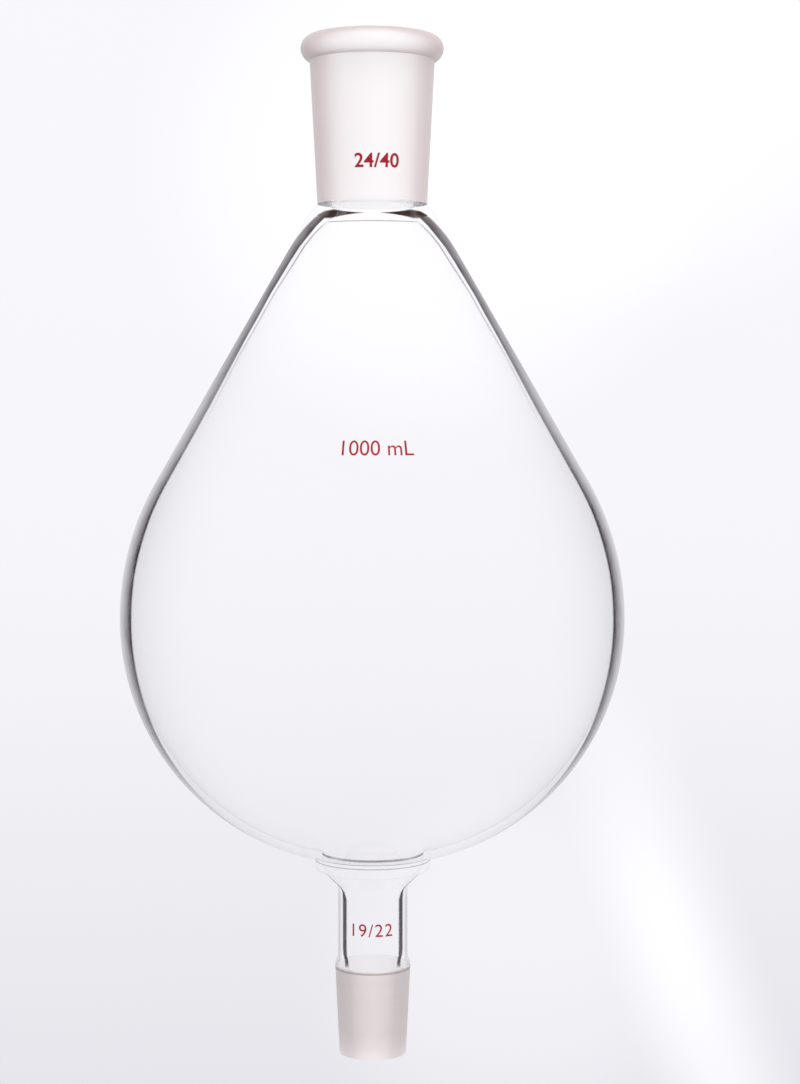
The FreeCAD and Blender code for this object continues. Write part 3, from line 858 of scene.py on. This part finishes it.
# Soft bright patches of the backdrop: the way they lie in, how far they spread, and how much light they add.
GLOWS = [
    ((0.013, 1.007, 0.11), 0.991, 0.08),
    ((0.11, 1.011, 0.172), 0.991, 0.08),
    ((0.05, 1.0, -0.25), 0.9955, 0.07),
]
BEAM_ACROSS = (-0.9488, 0.0445, -0.3124)
BEAM_HALF = 0.036
BEAM_LIGHT = 0.16
BEAM_TOP, BEAM_FOOT = (-0.08, -0.25), (-0.45, -0.3)
WHITE = (1, 1, 1, 1)


def soft_step(g, value, start, full):
    """0 before start, 1 past full, and a smooth change between them."""
    settings = {"interpolation_type": "SMOOTHSTEP"}
    return g.value(g.node("MapRange", settings, Value=value, From_Min=start, From_Max=full))


def brighten(g, colour, share):
    """Adds a share of white to a colour."""
    return g.node("Mix", {"data_type": "RGBA", "blend_type": "ADD"}, n0=share, n6=colour, n7=WHITE).outputs[2]


def along(g, way, direction):
    """How far a way lies along a direction."""
    return g.value(g.node("VectorMath", {"operation": "DOT_PRODUCT"}, n0=way, n1=direction), 1)


def make_world():
    world = bpy.data.worlds.new("pale_studio")
    bpy.context.scene.world = world
    g = Graph(world)
    way = g.node("TexCoord").outputs["Generated"]
    up = g.value(g.node("SeparateXYZ", Vector=way), 2)
    stops = [
        (0.0, srgb(240, 239, 244)),
        (0.14, srgb(234, 233, 238)),
        (0.221, srgb(231, 230, 236)),
        (0.312, srgb(238, 237, 242)),
        (0.375, srgb(243, 242, 246)),
        (0.434, srgb(246, 245, 249)),
        (0.557, srgb(248, 247, 251)),
        (1.0, srgb(250, 249, 252)),
    ]
    tint = g.node("ValToRGB", {"stops": stops}, Fac=up + 0.5).outputs["Color"]
    for place, spread, more in GLOWS:
        near = along(g, way, Vector(place).normalized())
        tint = brighten(g, tint, soft_step(g, near, spread, 1.0) * more)
    beam = soft_step(g, g.maths("ABSOLUTE", along(g, way, BEAM_ACROSS)), BEAM_HALF, 0.0)
    beam = beam * soft_step(g, up, *BEAM_TOP) * soft_step(g, up, *BEAM_FOOT)
    tint = brighten(g, tint, beam * BEAM_LIGHT)
    seen = g.node("LightPath").outputs
    looked = darkest(g, seen["Is Camera Ray"], seen["Is Glossy Ray"], seen["Is Transmission Ray"])
    shown = g.node("Background", Color=tint, Strength=1.0)
    light = g.node("Background", Color=(0.98, 0.98, 1.0, 1), Strength=0.5)
    both = g.node("MixShader", n0=looked, n1=light.outputs[0], n2=shown.outputs[0])
    g.node("OutputWorld", Surface=both.outputs[0])


def make_softbox(name, place, size, strength):
    lamp = bpy.data.lights.new(name, "AREA")
    lamp.shape, lamp.size, lamp.size_y = "RECTANGLE", *size
    lamp.energy = strength
    box = bpy.data.objects.new(name, lamp)
    box.location = place
    box.rotation_euler = (Vector((0, 0, 0.1)) - Vector(place)).to_track_quat("-Z", "Y").to_euler()
    box.visible_camera = False
    box.visible_transmission = False
    box.visible_glossy = False
    bpy.context.scene.collection.objects.link(box)


def make_camera(s):
    lens = bpy.data.cameras.new("camera")
    lens.sensor_width = 36.0
    lens.lens = 75.3
    lens.clip_start, lens.clip_end = 0.01, 50
    camera = bpy.data.objects.new("camera", lens)
    camera.location = (0.0068, -0.56, s["tip"] + 0.1582)
    tilt = 3.08
    camera.rotation_euler = (math.radians(90 - tilt), 0, 0)
    bpy.context.scene.collection.objects.link(camera)
    bpy.context.scene.camera = camera


def make_floor():
    """A pale round table far below the funnel, which fades into the background."""
    radius, depth, fade_from, fade_to = 3.0, 0.30, 0.35, 1.0
    bm = bmesh.new()
    bmesh.ops.create_circle(bm, cap_ends=True, radius=radius, segments=96)
    bmesh.ops.translate(bm, verts=bm.verts, vec=(0, 0, -depth))
    material, g = new_look("pale_floor")
    place = g.node("TexCoord").outputs["Object"]
    flat = g.node("VectorMath", {"operation": "MULTIPLY"}, n0=place, n1=(1, 1, 0)).outputs[0]
    far = g.value(g.node("VectorMath", {"operation": "LENGTH"}, n0=flat), 1)
    paper = g.node("BsdfDiffuse", Color=srgb(236, 235, 240))
    clear = g.node("BsdfTransparent")
    faded = soft_step(g, far, fade_from, fade_to)
    both = g.node("MixShader", n0=faded, n1=paper.outputs[0], n2=clear.outputs[0])
    g.node("OutputMaterial", Surface=both.outputs[0])
    mesh = bpy.data.meshes.new("floor")
    bm.to_mesh(mesh)
    bm.free()
    mesh.materials.append(material)
    floor = bpy.data.objects.new("floor", mesh)
    floor.visible_transmission = False
    bpy.context.scene.collection.objects.link(floor)


# ---------------------------------------------------------------- putting it together


def make_looks(s):
    pale, pale_inside = (1.0, 0.975, 0.96), (1.0, 0.97, 0.96)
    rosy = (1.0, 0.89, 0.88)
    return {
        "tube": tube_glass("drain_tube"),
        "blend": plain_glass("blended_wall"),
        "blown": blown_glass("blown_wall", s["socket_low"] / MM),
        "rim": rim_glass("outlet_rim", RIM_SIDE, RIM_SHADE_RING, True),
        "collar": rim_glass("outlet_collar", EVEN, COLLAR_SHADE_RINGS, False),
        "socket_clear": socket_wall_glass("socket_clear", SOCKET_SHADE_TINTS),
        "ground_bore": ground_glass("ground_bore", pale, 0.45, EVEN, 0.0, pale, EVEN),
        "ground_cone": ground_glass("ground_cone", rosy, 0.55, CONE_SHADE_TINTS, 0.5, pale_inside, CONE_SHADE_LEVELS),
        "seam": fused_seam("fused_seam"),
        "enamel": red_enamel("red_enamel"),
    }


def main():
    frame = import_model()
    bpy.context.scene.view_settings.view_transform = "Standard"
    s = read_sizes(frame)
    looks = make_looks(s)
    for make in (make_socket, make_upper_bulb, make_lower_bulb, make_stem, make_cone):
        make(s, looks)
    make_marks(s, looks["enamel"])

    make_world()
    make_floor()
    make_softbox("left_softbox", (-0.9, -0.5, 0.35), (0.5, 0.9), 5.8)
    make_softbox("right_softbox", (0.9, -0.3, 0.25), (0.5, 0.9), 5.8)
    make_softbox("top_softbox", (0.1, -0.2, 1.2), (0.8, 0.8), 7.7)
    make_camera(s)


main()
